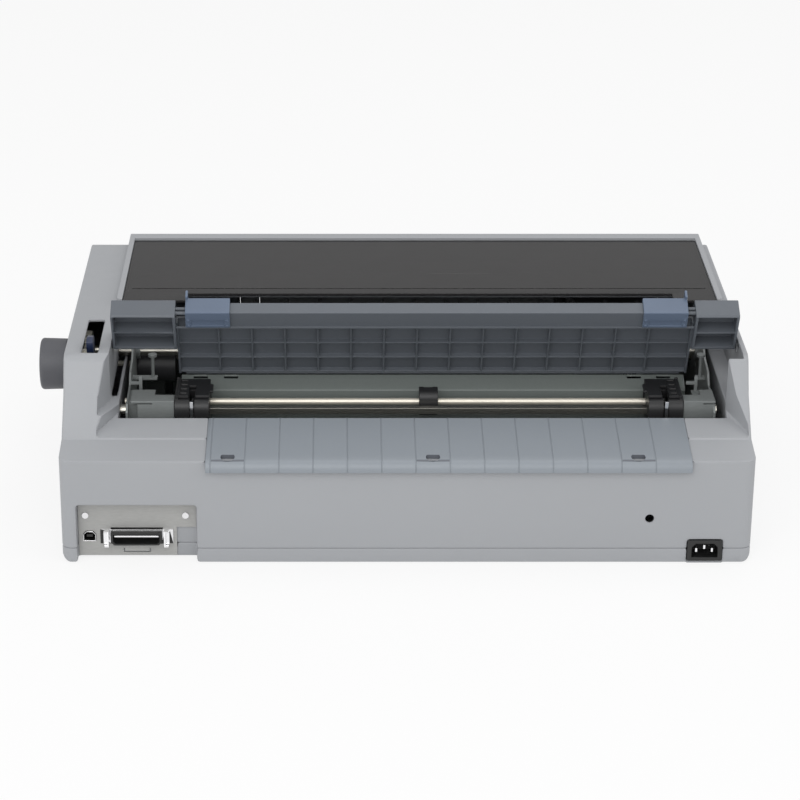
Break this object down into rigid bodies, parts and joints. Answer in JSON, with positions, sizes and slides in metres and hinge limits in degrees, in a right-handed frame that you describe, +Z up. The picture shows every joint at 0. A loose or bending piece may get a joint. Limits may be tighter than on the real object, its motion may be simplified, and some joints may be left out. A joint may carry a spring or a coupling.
{
  "type": "dot matrix printer",
  "caption": "Wide-carriage impact printer with hinged smoked cover, raised rear paper guide, push tractors, turning platen knob and rear connectors.",
  "frame": {"origin": "on the table under the middle of the case, where the rubber feet stand", "axes": "+X to the operator's right, the knob side; +Y to the rear; +Z up"},
  "size_m": [0.64, 0.4052, 0.2147],
  "materials": {
    "case_grey": "fine textured warm-grey moulded case",
    "deck_grey": "smooth blue-grey deck panel",
    "rubber_black": "black rubber",
    "panel_grey": "dark grey panel",
    "button_grey": "light grey keys",
    "lamp_lens": "green lamp lens",
    "switch_black": "black glossy",
    "smoked_window": "smoked clear plastic",
    "galvanised_steel": "galvanised sheet",
    "platen_rubber": "ground black rubber roller",
    "knob_grey": "dark grey moulded",
    "gear_nylon": "natural nylon",
    "motor_black": "black painted steel",
    "shaft_steel": "ground steel shaft",
    "tractor_black": "black moulded",
    "chrome": "bright plated",
    "guide_grey": "dark blue-grey moulded",
    "path_grey": "greenish grey moulded",
    "edge_blue": "blue-grey moulded",
    "lever_navy": "navy moulded",
    "belt_rubber": "toothed rubber belt",
    "board_green": "printed circuit board",
    "winding": "transformer with board",
    "plate_metal": "plated interface plate",
    "socket_black": "black socket"
  },
  "bodies": {
    "case": {"lower_case": "case_grey", "rubber_feet": "rubber_black", "upper_case": "case_grey", "rear_deck": "deck_grey", "control_panel": "panel_grey", "panel_lamps": "lamp_lens", "power_switch": "switch_black", "chassis": "galvanised_steel", "side_frame_right": "galvanised_steel", "side_frame_left": "galvanised_steel", "gear_bracket": "galvanised_steel", "feed_motor": "motor_black", "support_shaft": "shaft_steel", "lower_paper_guide": "path_grey", "exit_ribs": "tractor_black", "carriage_shaft": "shaft_steel", "carriage_motor": "motor_black", "drive_belt": "belt_rubber", "main_board": "board_green", "power_supply": "winding", "interface_plate": "plate_metal", "parallel_socket": "socket_black", "ac_inlet": "socket_black"},
    "front_flap": {"front_flap": "case_grey"},
    "button_pause": {"button_pause": "button_grey"},
    "button_tear_off": {"button_tear_off": "button_grey"},
    "button_feed": {"button_feed": "button_grey"},
    "button_font": {"button_font": "button_grey"},
    "button_pitch_select": {"button_pitch_select": "button_grey"},
    "power_rocker": {"power_rocker": "switch_black"},
    "cover": {"printer_cover": "case_grey", "cover_window": "smoked_window"},
    "platen": {"platen": "platen_rubber", "platen_gear": "gear_nylon"},
    "knob": {"platen_knob": "knob_grey", "knob_gear": "gear_nylon"},
    "idler": {"idler_gear": "gear_nylon"},
    "link": {"tractor_link_gear": "gear_nylon"},
    "pinion": {"feed_pinion": "gear_nylon"},
    "drive": {"drive_shaft": "shaft_steel"},
    "tractor_right": {"tractor_right": "tractor_black"},
    "tractor_right_flap": {"tractor_right_flap": "tractor_black"},
    "tractor_right_lever": {"tractor_right_lever": "chrome"},
    "sprocket_right": {"sprocket_right": "tractor_black"},
    "tractor_left": {"tractor_left": "tractor_black"},
    "tractor_left_flap": {"tractor_left_flap": "tractor_black"},
    "tractor_left_lever": {"tractor_left_lever": "chrome"},
    "sprocket_left": {"sprocket_left": "tractor_black"},
    "paper_support": {"paper_support": "tractor_black"},
    "paper_guide": {"paper_guide": "guide_grey"},
    "edge_guide_right": {"edge_guide_right": "edge_blue"},
    "edge_guide_left": {"edge_guide_left": "edge_blue"},
    "release_lever": {"release_lever": "lever_navy"},
    "carriage": {"print_carriage": "tractor_black", "print_head": "motor_black", "ribbon_cartridge": "tractor_black"},
    "motor_pulley": {"motor_pulley": "shaft_steel"},
    "belt_idler": {"belt_idler": "shaft_steel"},
    "bail_clip_right": {"bail_clip_right": "chrome"},
    "bail_clip_left": {"bail_clip_left": "chrome"}
  },
  "joints": [
    {"name": "platen_turn", "type": "hinge", "parent": "case", "child": "platen", "pos_m": [0, 0.002, 0.126], "axis": [1, 0, 0], "continuous": true},
    {"name": "knob_turn", "type": "hinge", "parent": "case", "child": "knob", "pos_m": [0.3, 0.045, 0.13], "axis": [1, 0, 0], "continuous": true},
    {"name": "idler_turn", "type": "hinge", "parent": "case", "child": "idler", "pos_m": [0.294, 0.02754, 0.11581], "axis": [1, 0, 0], "continuous": true},
    {"name": "link_turn", "type": "hinge", "parent": "case", "child": "link", "pos_m": [0.294, 0.07119, 0.11537], "axis": [1, 0, 0], "continuous": true},
    {"name": "pinion_turn", "type": "hinge", "parent": "case", "child": "pinion", "pos_m": [0.294, -0.01487, 0.10589], "axis": [1, 0, 0], "continuous": true},
    {"name": "drive_turn", "type": "hinge", "parent": "case", "child": "drive", "pos_m": [0, 0.1, 0.107], "axis": [1, 0, 0], "continuous": true},
    {"name": "cover_hinge", "type": "hinge", "parent": "case", "child": "cover", "pos_m": [0, -0.187, 0.16], "axis": [1, 0, 0], "range_deg": [0, 80]},
    {"name": "front_flap_hinge", "type": "hinge", "parent": "case", "child": "front_flap", "pos_m": [0, -0.198, 0.034], "axis": [1, 0, 0], "range_deg": [0, 88]},
    {"name": "paper_guide_fold", "type": "hinge", "parent": "case", "child": "paper_guide", "pos_m": [0, 0.05957, 0.15902], "axis": [1, 0, 0], "range_deg": [-62, 0]},
    {"name": "edge_guide_right_slide", "type": "slide", "parent": "paper_guide", "child": "edge_guide_right", "axis": [1, 0, 0], "range_m": [-0.15, 0.006]},
    {"name": "edge_guide_left_slide", "type": "slide", "parent": "paper_guide", "child": "edge_guide_left", "axis": [1, 0, 0], "range_m": [-0.004, 0.15]},
    {"name": "tractor_right_slide", "type": "slide", "parent": "case", "child": "tractor_right", "axis": [1, 0, 0], "range_m": [-0.09, 0]},
    {"name": "tractor_right_flap_hinge", "type": "hinge", "parent": "tractor_right", "child": "tractor_right_flap", "pos_m": [0.2065, 0.09, 0.1239], "axis": [0, 1, 0], "range_deg": [0, 95]},
    {"name": "tractor_right_lock", "type": "hinge", "parent": "tractor_right", "child": "tractor_right_lever", "pos_m": [0.1925, 0.114, 0.103], "axis": [1, 0, 0], "range_deg": [-25, 0]},
    {"name": "sprocket_right_turn", "type": "hinge", "parent": "tractor_right", "child": "sprocket_right", "pos_m": [0.1925, 0.1, 0.107], "axis": [1, 0, 0], "continuous": true},
    {"name": "tractor_left_slide", "type": "slide", "parent": "case", "child": "tractor_left", "axis": [1, 0, 0], "range_m": [0, 0.09]},
    {"name": "tractor_left_flap_hinge", "type": "hinge", "parent": "tractor_left", "child": "tractor_left_flap", "pos_m": [-0.2485, 0.09, 0.1239], "axis": [0, -1, 0], "range_deg": [0, 95]},
    {"name": "tractor_left_lock", "type": "hinge", "parent": "tractor_left", "child": "tractor_left_lever", "pos_m": [-0.2345, 0.114, 0.103], "axis": [1, 0, 0], "range_deg": [-25, 0]},
    {"name": "sprocket_left_turn", "type": "hinge", "parent": "tractor_left", "child": "sprocket_left", "pos_m": [-0.2345, 0.1, 0.107], "axis": [1, 0, 0], "continuous": true},
    {"name": "paper_support_slide", "type": "slide", "parent": "case", "child": "paper_support", "axis": [1, 0, 0], "range_m": [-0.07, 0.07]},
    {"name": "release_lever_swing", "type": "hinge", "parent": "case", "child": "release_lever", "pos_m": [0.2835, 0.06, 0.092], "axis": [1, 0, 0], "range_deg": [0, 35]},
    {"name": "carriage_slide", "type": "slide", "parent": "case", "child": "carriage", "axis": [1, 0, 0], "range_m": [0, 0.33]},
    {"name": "motor_pulley_turn", "type": "hinge", "parent": "case", "child": "motor_pulley", "pos_m": [-0.244, -0.105, 0.1], "axis": [0, 0, 1], "continuous": true},
    {"name": "belt_idler_turn", "type": "hinge", "parent": "case", "child": "belt_idler", "pos_m": [0.222, -0.105, 0.1], "axis": [0, 0, 1], "continuous": true},
    {"name": "button_pause_press", "type": "slide", "parent": "case", "child": "button_pause", "axis": [0, 1, 0], "range_m": [0, 0.0012], "stiffness_N_per_m": 150},
    {"name": "button_tear_off_press", "type": "slide", "parent": "case", "child": "button_tear_off", "axis": [0, 1, 0], "range_m": [0, 0.0012], "stiffness_N_per_m": 150},
    {"name": "button_feed_press", "type": "slide", "parent": "case", "child": "button_feed", "axis": [0, 1, 0], "range_m": [0, 0.0012], "stiffness_N_per_m": 150},
    {"name": "button_font_press", "type": "slide", "parent": "case", "child": "button_font", "axis": [0, 1, 0], "range_m": [0, 0.0012], "stiffness_N_per_m": 150},
    {"name": "button_pitch_select_press", "type": "slide", "parent": "case", "child": "button_pitch_select", "axis": [0, 1, 0], "range_m": [0, 0.0012], "stiffness_N_per_m": 150},
    {"name": "power_rocker_tip", "type": "hinge", "parent": "case", "child": "power_rocker", "pos_m": [0.262, -0.198, 0.044], "axis": [1, 0, 0], "range_deg": [0, 12]},
    {"name": "bail_clip_right_swing", "type": "hinge", "parent": "case", "child": "bail_clip_right", "pos_m": [0.2672, 0.1883, 0.0215], "axis": [0, 0, -1], "range_deg": [0, 55]},
    {"name": "bail_clip_left_swing", "type": "hinge", "parent": "case", "child": "bail_clip_left", "pos_m": [0.2122, 0.1883, 0.0215], "axis": [0, 0, 1], "range_deg": [0, 55]}
  ],
  "couplings": [
    {"joint": "knob_turn", "follows": "platen_turn", "ratio": 1.4},
    {"joint": "idler_turn", "follows": "platen_turn", "ratio": -1.75},
    {"joint": "link_turn", "follows": "platen_turn", "ratio": -1},
    {"joint": "pinion_turn", "follows": "platen_turn", "ratio": -2},
    {"joint": "drive_turn", "follows": "platen_turn", "ratio": 1.4},
    {"joint": "sprocket_right_turn", "follows": "platen_turn", "ratio": 1.4},
    {"joint": "sprocket_left_turn", "follows": "platen_turn", "ratio": 1.4},
    {"joint": "motor_pulley_turn", "follows": "carriage_slide", "rad_per_m": -150.38},
    {"joint": "belt_idler_turn", "follows": "carriage_slide", "rad_per_m": -150.38}
  ]
}
